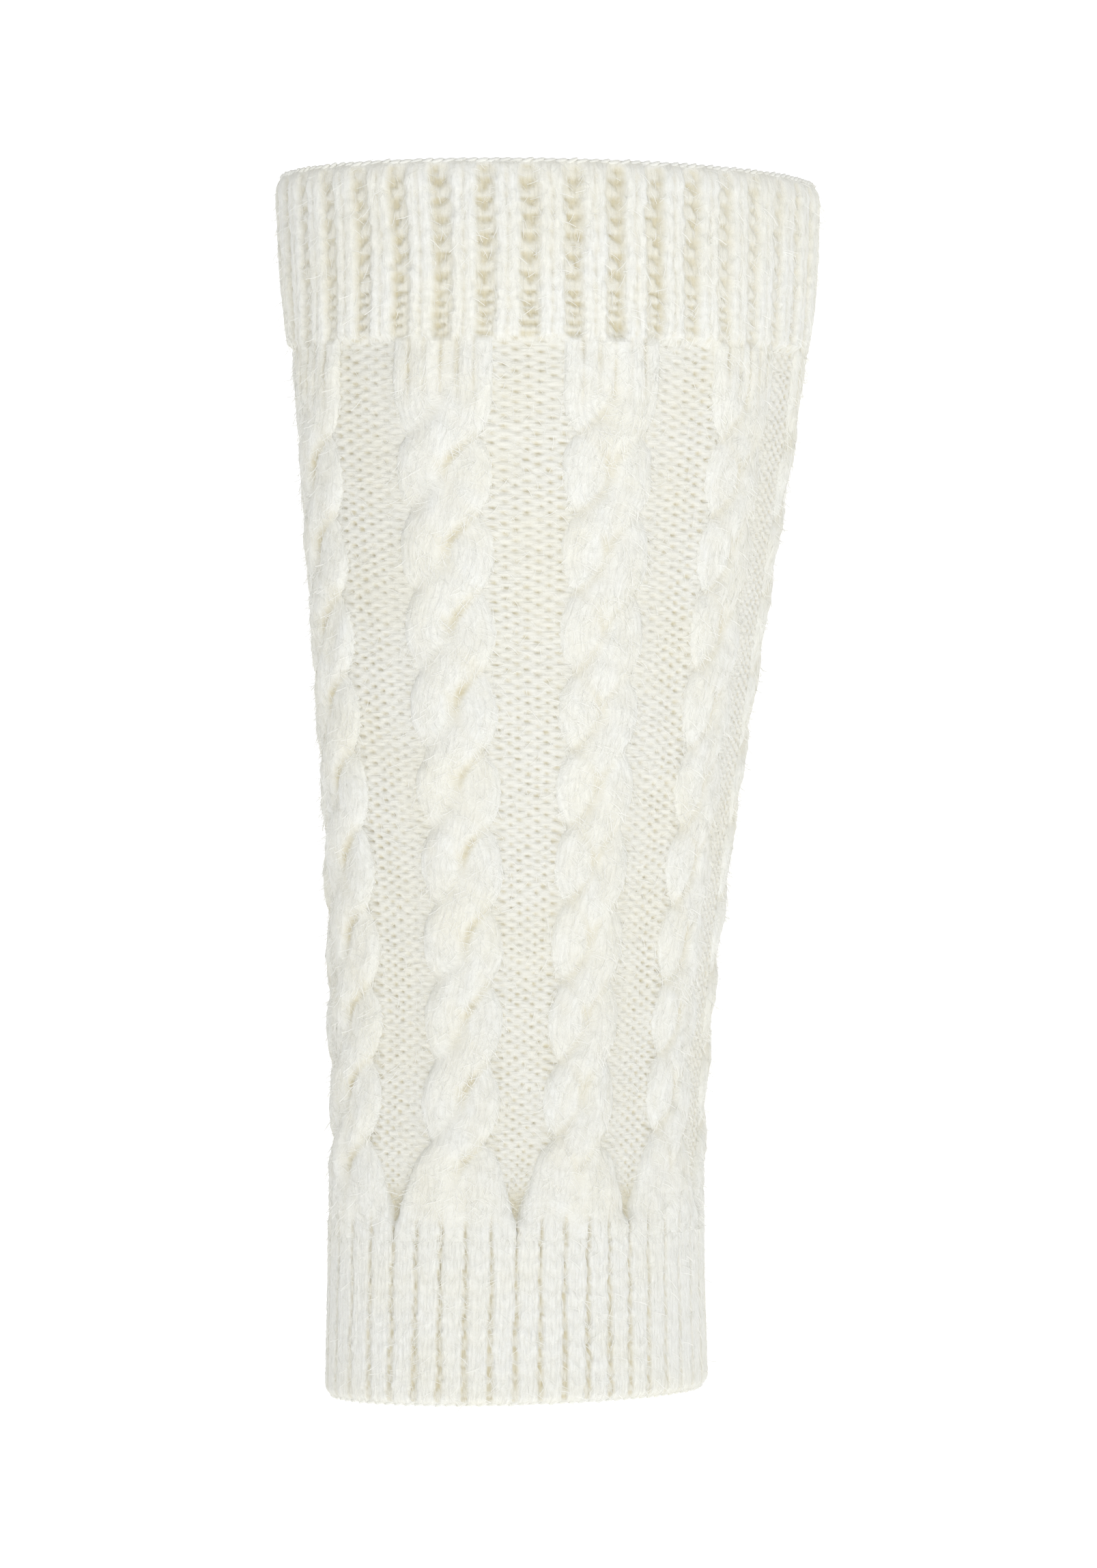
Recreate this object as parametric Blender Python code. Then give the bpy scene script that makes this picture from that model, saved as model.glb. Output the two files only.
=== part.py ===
"""One cable-knit leg warmer, hollow, in the shape it keeps on a calf.

Three knitted pieces stand one above the other: a ribbed top cuff, a body of rope cables between
panels of purl knit, and a ribbed bottom cuff. Each is a closed tube wall. The ribs and the cables
are raised in the outer points of the wall, over a plain inside.

Sizes are in millimetres and become metres where the points are made. X is to the right, Y is to
the back and Z is up. The origin is on the tube's axis, half-way down the top cuff.
"""

import math

import bmesh
import bpy
import numpy as np

MM = 0.001

# Heights, measured down from the top edge
LENGTH = 290.0
TOP_CUFF_END = 41.5
BOTTOM_CUFF_START = 251.5
HOLD_DROP = 21.0
SEAM_GAP = 0.3

# The tube's outline, over the crests of the knit. Shift moves the axis to the right, lean is how
# much further back the right edge lies than the axis, and turn moves the knit round the tube,
# as a share of one round. Spread is how much wider the knit lies at the front than on the average.
SECTION_COLUMNS = ("drop", "shift", "half_width", "half_depth", "lean", "wall", "turn", "spread")
SECTIONS = (
    (0.0, 0.0, 65.6, 63.1, 11.5, 3.4, -0.012, 0.04),
    (26.0, 0.2, 64.3, 61.4, 11.4, 3.5, -0.011, 0.05),
    (45.0, -0.1, 62.0, 58.1, 11.3, 5.0, -0.011, 0.11),
    (85.0, -1.8, 57.4, 51.4, 11.1, 5.4, -0.008, 0.16),
    (124.0, -3.6, 53.1, 45.1, 10.9, 5.4, -0.003, 0.18),
    (164.0, -5.2, 49.0, 39.0, 10.7, 5.4, 0.002, 0.18),
    (203.0, -6.9, 46.3, 35.3, 10.5, 5.4, 0.005, 0.18),
    (242.0, -7.7, 45.2, 34.8, 10.3, 5.0, 0.001, 0.20),
    (290.0, -7.7, 46.0, 34.8, 10.3, 4.0, -0.001, 0.21),
)
OUTLINE_SAMPLES = 720

# The body's cables
REPEATS = 10
CABLE_RISE = 3.0
FIRST_CROSSING = 62.8
CROSSING_PITCH = 18.3
CROSSINGS = 10
STRAND_HALF_WIDTH = 0.56
STRAND_LEVEL = 0.8
STRAND_LIFT = 0.2
STRAND_SHARPNESS = 1.2
ROWS_A_PITCH = 4
CABLE_STOPS = (-1.0, -0.8, -0.5, -0.2, 0.0, 0.2, 0.5, 0.8, 1.0)
PANEL_COLUMNS = ("drop", "share")
PANELS = (
    (41.5, 0.43),
    (62.0, 0.42),
    (137.0, 0.40),
    (228.0, 0.35),
    (237.0, 0.25),
    (244.0, 0.10),
    (251.5, 0.04),
)
BODY_TOP_ROWS = (46.0, 52.0)
BODY_END_ROWS = (239.0, 243.5, 247.5)
BODY_INNER_ROWS = 11

# The cuffs' ribs: each stop is a place along one rib, from the middle of the groove, and the
# share of the groove's depth at that place
TOP_RIBS = 40
TOP_GROOVE_DEPTH = 1.3
TOP_RIB_STOPS = ((0.20, 1.0), (0.34, 0.0), (0.66, 0.0), (0.80, 1.0))
BOTTOM_RIBS = 50
BOTTOM_GROOVE_DEPTH = 1.7
BOTTOM_RIB_STOPS = ((0.0, 1.0), (0.18, 0.2), (0.5, 0.0), (0.82, 0.2))
CUFF_BANDS = 4
EDGE_HEIGHT = 2.0
EDGE_INSET = 1.3
INNER_STEP = 2

KNIT_COLOUR = (0.83, 0.81, 0.74, 1.0)
KNIT_ROUGHNESS = 0.95


def clear_scene():
    for thing in list(bpy.data.objects):
        bpy.data.objects.remove(thing, do_unlink=True)


def knit_material(name):
    material = bpy.data.materials.new(name)
    material.use_nodes = True
    shader = material.node_tree.nodes["Principled BSDF"]
    shader.inputs["Base Color"].default_value = KNIT_COLOUR
    shader.inputs["Roughness"].default_value = KNIT_ROUGHNESS
    shader.inputs["Metallic"].default_value = 0.0
    return material


def column(table, columns, name):
    return np.array([row[columns.index(name)] for row in table])


def smooth_value(table, columns, name, drop):
    """The column's value at this drop, on a smooth curve through the table's rows."""
    drops = column(table, columns, "drop")
    values = column(table, columns, name)
    slopes = np.gradient(values, drops)
    place = int(np.clip(np.searchsorted(drops, drop) - 1, 0, len(drops) - 2))
    span = drops[place + 1] - drops[place]
    t = (min(max(drop, drops[0]), drops[-1]) - drops[place]) / span
    start = (1 + 2 * t) * (1 - t) ** 2 * values[place] + t * (1 - t) ** 2 * span * slopes[place]
    end = t * t * (3 - 2 * t) * values[place + 1] - t * t * (1 - t) * span * slopes[place + 1]
    return start + end


def section(drop, name):
    return smooth_value(SECTIONS, SECTION_COLUMNS, name, drop)


def outline(drop):
    """Points of the outline and their outward directions, with their shares of the way round.

    The way round starts at the front and goes to the right.
    """
    angle = np.linspace(-math.pi / 2, 1.5 * math.pi, OUTLINE_SAMPLES + 1)
    width = section(drop, "half_width")
    lean = section(drop, "lean")
    depth = math.sqrt(section(drop, "half_depth") ** 2 - lean**2)
    x = section(drop, "shift") + width * np.cos(angle)
    y = depth * np.sin(angle) + lean * np.cos(angle)
    along_x = -width * np.sin(angle)
    along_y = depth * np.cos(angle) - lean * np.sin(angle)
    length = np.hypot(along_x, along_y)
    way = np.concatenate(([0.0], np.cumsum((length[1:] + length[:-1]) / 2)))
    return way / way[-1], x, y, along_y / length, -along_x / length


def ring(drop, shares, depths):
    """One ring of points, each sunk from the outline by its own depth."""
    turned = np.asarray(shares) + section(drop, "turn")
    pull = section(drop, "spread") / (2 * math.pi)
    spread = turned + pull * np.sin(2 * math.pi * turned)
    whole, x, y, out_x, out_y = outline(drop)
    place = spread % 1.0
    height = (HOLD_DROP - drop) * MM
    points = []
    for share, depth in zip(place, depths):
        px = np.interp(share, whole, x) - depth * np.interp(share, whole, out_x)
        py = np.interp(share, whole, y) - depth * np.interp(share, whole, out_y)
        points.append((px * MM, py * MM, height))
    return points


def tube_wall(name, outer, inner):
    """A closed wall from outer and inner rings, both listed from the top down."""
    mesh = bmesh.new()
    outer_rings = [[mesh.verts.new(point) for point in points] for points in outer]
    inner_rings = [[mesh.verts.new(point) for point in points] for points in inner]
    for upper, lower in zip(outer_rings, outer_rings[1:]):
        join_rings(mesh, upper, lower)
    for upper, lower in zip(inner_rings, inner_rings[1:]):
        join_rings(mesh, lower, upper)
    join_rim(mesh, inner_rings[0], outer_rings[0])
    join_rim(mesh, inner_rings[-1], outer_rings[-1])
    bmesh.ops.recalc_face_normals(mesh, faces=mesh.faces)
    data = bpy.data.meshes.new(name)
    mesh.to_mesh(data)
    mesh.free()
    data.shade_smooth()
    data.materials.append(knit_material(name + "_wool"))
    wall = bpy.data.objects.new(name, data)
    bpy.context.scene.collection.objects.link(wall)
    return wall


def join_rings(mesh, upper, lower):
    count = len(upper)
    for here in range(count):
        after = (here + 1) % count
        mesh.faces.new((upper[here], lower[here], lower[after], upper[after]))


def join_rim(mesh, inner, outer):
    """The flat edge of the wall: each inner point meets the outer points of its own stretch."""
    step = len(outer) // len(inner)
    for here, corner in enumerate(inner):
        after = inner[(here + 1) % len(inner)]
        for part in range(step):
            first = outer[here * step + part]
            second = outer[(here * step + part + 1) % len(outer)]
            mesh.faces.new((corner, first, second))
        last = outer[(here + 1) * step % len(outer)]
        mesh.faces.new((corner, last, after))


def plain_ring(drop, shares):
    """One ring of the plain inner side of the wall, under every second outer place."""
    kept = shares[::INNER_STEP]
    return ring(drop, kept, [section(drop, "wall")] * len(kept))


def rib_layout(ribs, stops):
    shares = [(rib + place) / ribs for rib in range(ribs) for place, _ in stops]
    grooves = [groove for _ in range(ribs) for _, groove in stops]
    return shares, np.array(grooves)


def ribbed_cuff(name, top, bottom, ribs, stops, groove_depth, edge_at_top):
    """A cuff of upright ribs, with its free edge rounded over."""
    shares, grooves = rib_layout(ribs, stops)
    edge = top if edge_at_top else bottom
    inner_end = edge + EDGE_HEIGHT if edge_at_top else edge - EDGE_HEIGHT
    seam = bottom if edge_at_top else top
    drops = list(np.linspace(inner_end, seam, CUFF_BANDS))
    outer = [ring(drop, shares, grooves * groove_depth) for drop in drops]
    rounded = np.maximum(grooves * groove_depth, EDGE_INSET)
    outer.insert(0, ring(edge, shares, rounded))
    inner = [plain_ring(drop, shares) for drop in [edge, *drops[1:]]]
    if not edge_at_top:
        outer.reverse()
        inner.reverse()
    return tube_wall(name, outer, inner)


def panel_share(drop):
    return float(
        np.interp(drop, column(PANELS, PANEL_COLUMNS, "drop"), column(PANELS, PANEL_COLUMNS, "share"))
    )


def strand_height(across, turns):
    """How high the rope stands at this place across the cable, from 0 at the panel to 1.

    Across runs from -1 to 1, and turns counts crossings downwards from the first.
    """
    held = min(max(turns, -0.5), CROSSINGS - 0.5)
    swing = math.sin(math.pi * held)
    place = -0.5 * swing * (1 + STRAND_SHARPNESS) / (1 + STRAND_SHARPNESS * abs(swing))
    lift = math.cos(math.pi * held)
    heights = [0.0]
    for side in (1, -1):
        reach = (across - side * place) / STRAND_HALF_WIDTH
        if abs(reach) < 1:
            heights.append((STRAND_LEVEL + side * STRAND_LIFT * lift) * math.sqrt(1 - reach**2))
    return max(heights)


def body_shares(drop):
    """Places round one ring of the body: the middle of each purl panel, then its cable's stops."""
    panel = panel_share(drop)
    shares = []
    for repeat in range(REPEATS):
        shares.append(repeat / REPEATS)
        for stop in CABLE_STOPS:
            shares.append((repeat + 0.5 + stop * (1 - panel) / 2) / REPEATS)
    return shares


def body_depths(drop):
    turns = (drop - FIRST_CROSSING) / CROSSING_PITCH
    rises = [0.0] + [strand_height(stop, turns) for stop in CABLE_STOPS]
    return [CABLE_RISE * (1 - rise) for rise in rises] * REPEATS


def cable_body():
    """The long piece: rope cables that cross all the way down, with a purl panel between each two."""
    top = TOP_CUFF_END + SEAM_GAP / 2
    bottom = BOTTOM_CUFF_START - SEAM_GAP / 2
    steps = range(-1, (CROSSINGS - 1) * ROWS_A_PITCH + 3)
    crossing_rows = [FIRST_CROSSING + CROSSING_PITCH * step / ROWS_A_PITCH for step in steps]
    drops = [top, *BODY_TOP_ROWS, *crossing_rows, *BODY_END_ROWS, bottom]
    outer = [ring(drop, body_shares(drop), body_depths(drop)) for drop in drops]
    inner = [plain_ring(drop, body_shares(drop)) for drop in np.linspace(top, bottom, BODY_INNER_ROWS)]
    return tube_wall("cable_body", outer, inner)


def main():
    clear_scene()
    ribbed_cuff(
        "top_cuff",
        0.0,
        TOP_CUFF_END - SEAM_GAP / 2,
        TOP_RIBS,
        TOP_RIB_STOPS,
        TOP_GROOVE_DEPTH,
        edge_at_top=True,
    )
    cable_body()
    ribbed_cuff(
        "bottom_cuff",
        BOTTOM_CUFF_START + SEAM_GAP / 2,
        LENGTH,
        BOTTOM_RIBS,
        BOTTOM_RIB_STOPS,
        BOTTOM_GROOVE_DEPTH,
        edge_at_top=False,
    )


main()
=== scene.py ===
"""Dresses a cable-knit leg warmer with its ribs, rope cables, purl panels and brushed yarn.

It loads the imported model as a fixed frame, knits each piece over the node that it stands for, and
sets a plain studio round it. Sizes inside the functions are in millimetres. A place on the knit is
its drop, measured down from the top edge, its share of the way round from the front to the right,
and its depth, inwards from the crests of the knit.
"""

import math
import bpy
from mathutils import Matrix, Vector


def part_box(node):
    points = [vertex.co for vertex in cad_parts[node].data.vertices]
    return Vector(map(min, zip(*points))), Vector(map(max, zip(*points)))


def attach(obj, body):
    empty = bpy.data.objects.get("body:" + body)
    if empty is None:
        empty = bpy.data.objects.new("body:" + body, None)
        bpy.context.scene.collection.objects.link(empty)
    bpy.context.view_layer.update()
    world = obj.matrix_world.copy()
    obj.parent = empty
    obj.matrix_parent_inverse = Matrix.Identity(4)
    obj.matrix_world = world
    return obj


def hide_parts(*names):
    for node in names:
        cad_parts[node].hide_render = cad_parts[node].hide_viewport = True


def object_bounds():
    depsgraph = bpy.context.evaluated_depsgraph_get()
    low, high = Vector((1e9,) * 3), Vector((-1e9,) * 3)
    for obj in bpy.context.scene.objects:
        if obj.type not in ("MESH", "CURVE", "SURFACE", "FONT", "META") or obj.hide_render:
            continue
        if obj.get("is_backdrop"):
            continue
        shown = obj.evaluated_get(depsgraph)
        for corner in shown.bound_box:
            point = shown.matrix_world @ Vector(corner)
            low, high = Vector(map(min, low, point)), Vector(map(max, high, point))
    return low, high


bl_info = {
    "name": "Cable-Knit Leg Warmer",
    "version": (1, 0, 0),
    "blender": (4, 5, 0),
    "location": "3D View > Sidebar > Leg Warmer",
    "description": "Knits a hollow leg warmer with rope cables, purl panels and ribbed cuffs",
    "category": "Object",
}

import bpy
import numpy as np
from bpy.props import FloatProperty, FloatVectorProperty, IntProperty, PointerProperty
from bpy.types import Operator, Panel, PropertyGroup
from mathutils import Vector

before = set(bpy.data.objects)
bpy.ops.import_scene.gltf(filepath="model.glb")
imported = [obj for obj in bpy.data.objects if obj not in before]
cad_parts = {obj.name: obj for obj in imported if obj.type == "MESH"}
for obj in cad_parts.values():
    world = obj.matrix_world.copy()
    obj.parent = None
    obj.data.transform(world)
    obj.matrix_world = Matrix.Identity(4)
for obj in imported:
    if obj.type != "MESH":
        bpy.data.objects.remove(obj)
CAD_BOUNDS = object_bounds()

MM = 0.001

# Heights read from the frame, with the drops of the two seams
TOP_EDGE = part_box("top_cuff")[1].z / MM
LENGTH = TOP_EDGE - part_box("bottom_cuff")[0].z / MM
TOP_CUFF_END = TOP_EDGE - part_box("cable_body")[1].z / MM
BOTTOM_CUFF_START = TOP_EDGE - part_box("cable_body")[0].z / MM

# The outline over the crests of the knit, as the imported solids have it
SECTION_COLUMNS = ("drop", "shift", "half_width", "half_depth", "lean", "wall", "turn", "spread")
SECTIONS = (
    (0.0, 0.0, 65.6, 63.1, 11.5, 3.4, -0.012, 0.04),
    (26.0, 0.2, 64.3, 61.4, 11.4, 3.5, -0.011, 0.05),
    (45.0, -0.1, 62.0, 58.1, 11.3, 5.0, -0.011, 0.11),
    (85.0, -1.8, 57.4, 51.4, 11.1, 5.4, -0.008, 0.16),
    (124.0, -3.6, 53.1, 45.1, 10.9, 5.4, -0.003, 0.18),
    (164.0, -5.2, 49.0, 39.0, 10.7, 5.4, 0.002, 0.18),
    (203.0, -6.9, 46.3, 35.3, 10.5, 5.4, 0.005, 0.18),
    (242.0, -7.7, 45.2, 34.8, 10.3, 5.0, 0.001, 0.20),
    (290.0, -7.7, 46.0, 34.8, 10.3, 4.0, -0.001, 0.21),
)

# How finely the form is worked out, the mean way round it, and a stitch column of its inside
OUTLINE_SAMPLES = 720
ROUND_SAMPLES = 1440
FORM_STEP = 1.0
MEAN_ROUND = 330.0
LINING_WALE = 4.1 * MM

# The layout of the knit: counts all round, heights of the courses, and the crossings of the cables
REPEATS = 10
TOP_RIBS = 40
BOTTOM_RIBS = 50
COURSE = 2.42
TALL_COURSE = 4.25
TALL_COURSES_END = 30.0
BOTTOM_COURSE = 4.0
FIRST_CROSSING = 62.8
CROSSING_PITCH = 18.3
CROSSINGS = 10

# The purl panel's share of a repeat
PANEL_COLUMNS = ("drop", "share")
PANELS = (
    (41.5, 0.43),
    (62.0, 0.42),
    (137.0, 0.40),
    (228.0, 0.35),
    (237.0, 0.25),
    (244.0, 0.10),
    (251.5, 0.04),
)

# Depths under the crests
PANEL_DEPTH = 3.5
GROUND_DEPTH = PANEL_DEPTH - 0.5
WALL_FACE_DEPTH = 4.1
EDGE_DEPTH = 4.4
HIDDEN_DEPTH = 4.5

# Where the top ribs turn into the body, the body into the low ribs, and the cuffs into their edges
SEAM_BLEND = 2.2
LOW_RIBS_START = 244.4
LOW_RIBS_BLEND = 3.6
TOP_BIND = (0.6, 2.6)
BOTTOM_BIND = (1.8, 0.4)

# The cuffs' lap over the body, the narrow rows and columns at the ends of pieces, and a level face
SEAM_LAP = 0.03
END_ROW = 0.04
END_COLUMN = 0.004
FLAT_FACE = 1e-6

# How far the free edges reach down or up, and how far their outside turns in
TOP_EDGE_REACH = 5.0
TOP_EDGE_TURN = 2.6
BOTTOM_EDGE_REACH = 3.2
BOTTOM_EDGE_TURN = 2.2
INNER_EDGE_REACH = 1.6

# Spacing and number of the points down and across each piece
TOP_CUFF_COLUMNS = 18
BOTTOM_CUFF_COLUMNS = 12
TOP_CUFF_ROW = 0.62
BOTTOM_CUFF_ROW = 0.65
PANEL_ROWS_A_COURSE = 5
HALF_WALES = 6
PANEL_COLUMNS_A_HALF_WALE = 4
PANEL_MARGIN = 4.2
PANEL_MARGIN_COLUMNS = 3
CABLE_ROW = 0.95
CABLE_COLUMNS = 44
CABLE_REACH = 1.12
WIDEST_REACH = 0.4992
BACK_COLUMNS = 2
WALL_COLUMNS = 240
WALL_ROWS = 16
RIM_OUTER_ROWS = 7
RIM_INNER_ROWS = 3
TOP_LINING_ROWS = 14
BODY_LINING_ROWS = 50
BOTTOM_LINING_ROWS = 12
CHAIN_SAMPLES = 400
SEAM_SAMPLES = 200

# Room between the evenly spaced rows of a cuff and its seam or edge
TOP_ROWS_STOP = 0.3
BOTTOM_ROWS_START = 0.4
BOTTOM_ROWS_STOP = 0.2
LINING_START = 2.0

# What a row says after its drop and how far it is sunk: outer relief, nap and inner relief
OUTSIDE = (1.0, 0.5, 0.0)
LINED = (0.0, 0.0, 1.0)
BARE = (0.0, 0.0, 0.0)
EDGE_NAP = 0.4

# The ten repeats, in the two pieces that they are knitted in
SIDES = {"right": range(0, 5), "left": range(5, 10)}

# How far in from the edge and how deep the edge chains lie, and the closing seam
TOP_CHAIN = (0.45, 1.9)
BOTTOM_CHAIN = (0.45, 1.7)
SEAM_ENDS = 4.0
SEAM_PROUD = 0.2

# The way the nap is brushed, and the chance in its fibres' turns and sizes and in the chains
NAP_WAY = (0.25, 0.0, -1.0)
NAP_LEAST_TURN = (-0.1, -0.5, -1.4)
NAP_MOST_TURN = (0.14, 0.5, 1.4)
NAP_LEAST_SIZE = 0.45
NAP_MOST_SIZE = 1.25
STITCH_JITTER = 0.12

# Grain of the yarn, in repeats a metre, and the height of its bumps in metres
STREAK_STRETCH = (1300.0, 230.0, 1.0)
FLUFF_SCALE = 900.0
PATCH_SCALE = 55.0
DRIFT_SCALE = 300.0
BUMP_HEIGHT = 0.7 * MM

# The studio, in metres
SWEEP_FRONT = -5.0
SWEEP_BACK = 2.4
SWEEP_RADIUS = 0.9
SWEEP_REACH = 5.0
FRONT_LIGHT = (0.45, -1.9, -0.08)
BACK_LIGHT = (0.4, 1.5, 1.1)
LIGHT_TARGET = (0.0, 0.0, -0.12)
CAMERA_PLACE = (-0.0003, -1.4, -0.1089)
CAMERA_TARGET = (-0.0003, 0.0, -0.1233)
CAMERA_LENS = 133.85
CAMERA_SENSOR = 36.0


def length_property(name, description, size):
    """A length that a user may change; its default is given in millimetres."""
    return FloatProperty(name=name, description=description, default=size * MM, unit="LENGTH")


def colour_property(name, description, default):
    """A colour that a user may change."""
    return FloatVectorProperty(
        name=name, description=description, subtype="COLOR", size=4, min=0.0, max=1.0, default=default
    )


class LegWarmerKnit(PropertyGroup):
    """Sizes of the knit's relief."""

    front_rise: length_property(
        "Front strand rise", "How far a cable's front strand stands above the purl panels", 3.0
    )
    back_rise: length_property(
        "Back strand rise", "How far a cable's back strand stands above the purl panels", 1.9
    )
    crease_depth: length_property(
        "Crease depth", "Extra depth of the pit where the front strand lies over the back one", 0.5
    )
    purl_relief: length_property("Purl relief", "Height of a purl bump above the hole beside it", 0.72)
    gutter_depth: length_property(
        "Top gutter depth", "Depth of the hollows between the ribs of the top cuff", 2.3
    )
    groove_depth: length_property(
        "Bottom groove depth", "Depth of the hollows between the ribs of the bottom cuff", 1.0
    )


class LegWarmerYarn(PropertyGroup):
    """Colours and nap of the yarn."""

    cream: colour_property("Cream", "Colour of the yarn on the crests", (0.86, 0.866, 0.83, 1.0))
    warm: colour_property(
        "Warm cream", "Colour that the yarn drifts to in patches", (0.86, 0.857, 0.79, 1.0)
    )
    # The painted shade colour of the creases, holes and gutters
    hollow: colour_property("Hollow", "Colour deep between the stitches", (0.65, 0.595, 0.425, 1.0))
    # Darker streaks: partly the yarn's grain, partly painted shade between the fibres
    streak: colour_property(
        "Streak", "Colour of the darker streaks along the fibres", (0.785, 0.775, 0.70, 1.0)
    )
    fibre_tip: colour_property(
        "Loose fibre", "Palest colour of the loose fibres", (0.93, 0.92, 0.87, 1.0)
    )
    fibre_length: length_property("Fibre length", "Length of a loose fibre of the nap", 3.0)
    fibre_width: length_property("Fibre width", "Width of a loose fibre of the nap", 0.12)
    fibre_density: FloatProperty(
        name="Fibres a square metre",
        description="Loose fibres on a square metre of cable",
        default=760000.0,
    )
    seed: IntProperty(
        name="Seed",
        description="Start of the chance that places the fibres and the knit's unevenness",
        default=7,
    )


class LegWarmerStudio(PropertyGroup):
    """Light and floor."""

    key_power: FloatProperty(
        name="Front light",
        description="Power of the large soft light in front",
        default=13.6,
        unit="POWER",
    )
    world_strength: FloatProperty(
        name="White surround",
        description="Strength of the even white light from all round",
        default=0.55,
    )
    floor_drop: length_property("Floor below the hem", "How far the floor lies under the bottom edge", 60.0)


class Wire:
    """A value that varies over a surface, so that Python maths on it adds the nodes for it."""

    def __init__(self, board, socket):
        self.board = board
        self.socket = socket

    def maths(self, operation, *values):
        return self.board.add("ShaderNodeMath", {"operation": operation}, dict(enumerate(values)))

    def other(self, name):
        """Another output of the node that this one comes from."""
        return Wire(self.board, self.socket.node.outputs[name])

    def __add__(self, other):
        return self.maths("ADD", self, other)

    def __radd__(self, other):
        return self.maths("ADD", other, self)

    def __sub__(self, other):
        return self.maths("SUBTRACT", self, other)

    def __rsub__(self, other):
        return self.maths("SUBTRACT", other, self)

    def __mul__(self, other):
        return self.maths("MULTIPLY", self, other)

    def __rmul__(self, other):
        return self.maths("MULTIPLY", other, self)

    def __abs__(self):
        return self.maths("ABSOLUTE", self)

    def __round__(self):
        return self.maths("ROUND", self)


class Board:
    """A node tree that is filled one node at a time."""

    def __init__(self, tree):
        self.tree = tree

    def fill(self, node, values):
        """Sets or links the sockets of a node."""
        for place, value in values.items():
            if isinstance(value, Wire):
                self.tree.links.new(value.socket, node.inputs[place])
            else:
                node.inputs[place].default_value = value

    def add(self, kind, settings=None, values=None, output=0):
        """Adds one node, with its settings made first, then its sockets' values and links."""
        node = self.tree.nodes.new(kind)
        for name, value in (settings or {}).items():
            setattr(node, name, value)
        self.fill(node, values or {})
        if not node.outputs:
            return node
        return Wire(self, node.outputs[output])

    def noise(self, place, scale, detail, roughness):
        values = {"Vector": place, "Scale": scale, "Detail": detail, "Roughness": roughness}
        return self.add("ShaderNodeTexNoise", None, values)

    def ranged(self, value, low, high, start=0.0, end=1.0, kind="LINEAR"):
        """A number from start to end, by where the value lies from low to high."""
        values = {0: value, 1: low, 2: high, 3: start, 4: end}
        return self.add("ShaderNodeMapRange", {"interpolation_type": kind}, values)

    def mixed(self, factor, first, second):
        """A colour between two colours."""
        settings = {"data_type": "RGBA"}
        return self.add("ShaderNodeMix", settings, {0: factor, 6: first, 7: second}, output=2)


class Unevenness:
    """A seeded, smooth rise and fall over the tube that closes on itself all round."""

    WAVES = 14

    def __init__(self, seed, size):
        chance = np.random.default_rng(seed)
        self.turns = np.round(chance.normal(0.0, MEAN_ROUND / size / 2, self.WAVES))
        self.waves = chance.normal(0.0, 0.5 / size, self.WAVES)
        self.starts = chance.uniform(0.0, 2 * math.pi, self.WAVES)

    def at(self, drop, share):
        total = 0.0
        for turns, waves, start in zip(self.turns, self.waves, self.starts):
            total = total + np.sin(2 * math.pi * (turns * share + waves * drop) + start)
        return total / math.sqrt(self.WAVES)


def column(table, columns, name):
    return np.array([row[columns.index(name)] for row in table])


def section(drops, name):
    """The outline's value at these drops, on a smooth curve through the rows of the table."""
    known = column(SECTIONS, SECTION_COLUMNS, "drop")
    values = column(SECTIONS, SECTION_COLUMNS, name)
    slopes = np.gradient(values, known)
    drops = np.clip(drops, known[0], known[-1])
    place = np.clip(np.searchsorted(known, drops) - 1, 0, len(known) - 2)
    span = known[place + 1] - known[place]
    t = (drops - known[place]) / span
    start = (1 + 2 * t) * (1 - t) ** 2 * values[place] + t * (1 - t) ** 2 * span * slopes[place]
    end = t * t * (3 - 2 * t) * values[place + 1] - t * t * (1 - t) * span * slopes[place + 1]
    return start + end


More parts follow.
